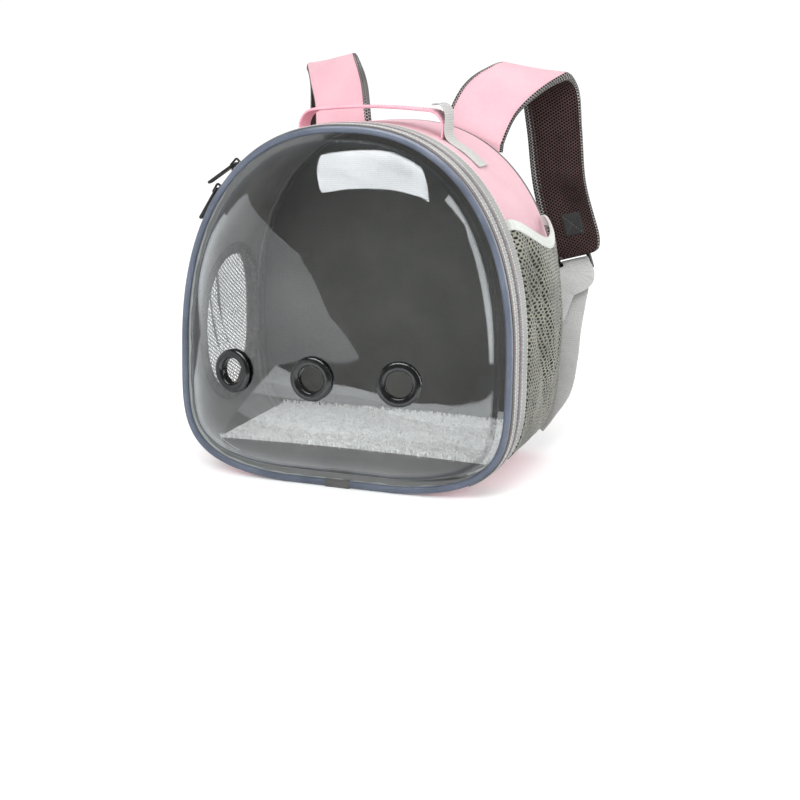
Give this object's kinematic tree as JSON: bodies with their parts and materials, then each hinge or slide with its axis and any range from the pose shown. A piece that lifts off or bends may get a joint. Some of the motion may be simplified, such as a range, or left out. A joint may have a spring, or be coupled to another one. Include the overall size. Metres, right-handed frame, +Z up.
{
  "type": "bubble pet carrier backpack",
  "caption": "Arched pet carrier backpack with a clear domed front, vent grommets, net side windows, side pockets, a top handle and padded shoulder straps.",
  "frame": {"origin": "on the floor under the middle of the body's width and depth", "axes": "+X to the right seen from the front, +Y from the bubble to the wearer's back, +Z up"},
  "size_m": [0.3368, 0.3451, 0.3814],
  "materials": {
    "clear_sheet": "clear gloss",
    "pink_cloth": "woven",
    "dark_mesh": "padded mesh",
    "pocket_mesh": "open knit",
    "white_net": "coarse net",
    "tape": "woven tape",
    "webbing": "ribbed webbing",
    "zip": "coil zip",
    "piping": "satin",
    "fleece": "plush pile",
    "black_plastic": "gloss"
  },
  "bodies": {
    "pack": {"bubble": "clear_sheet", "vent_grommet_left": "black_plastic", "vent_grommet_middle": "black_plastic", "vent_grommet_right": "black_plastic", "rim_piping": "piping", "piping_sleeve": "webbing", "front_tape": "tape", "wall": "pink_cloth", "back_panel": "dark_mesh", "zip_chain": "zip", "rear_tape": "tape", "fleece_pad": "fleece", "top_handle": "pink_cloth", "ribbon_tab": "tape", "zip_slider_upper": "black_plastic", "zip_slider_lower": "black_plastic", "window_net_right": "white_net", "window_net_left": "white_net", "side_pocket_right": "pocket_mesh", "side_pocket_left": "pocket_mesh", "pocket_binding_right": "tape", "pocket_binding_left": "tape", "strap_pad_right": "pink_cloth", "strap_pad_left": "pink_cloth", "strap_buckle_right": "black_plastic", "strap_buckle_left": "black_plastic", "strap_webbing_right": "webbing", "strap_webbing_left": "webbing"},
    "pull_upper": {"zip_pull_upper": "black_plastic"},
    "pull_lower": {"zip_pull_lower": "black_plastic"}
  },
  "joints": [
    {"name": "upper_pull_hinge", "type": "hinge", "parent": "pack", "child": "pull_upper", "pos_m": [-0.11011, -0.05441, 0.27579], "axis": [0, 1, 0], "range_deg": [0, 150]},
    {"name": "lower_pull_hinge", "type": "hinge", "parent": "pack", "child": "pull_lower", "pos_m": [-0.12787, -0.05547, 0.25283], "axis": [0, 1, 0], "range_deg": [0, 30]}
  ]
}
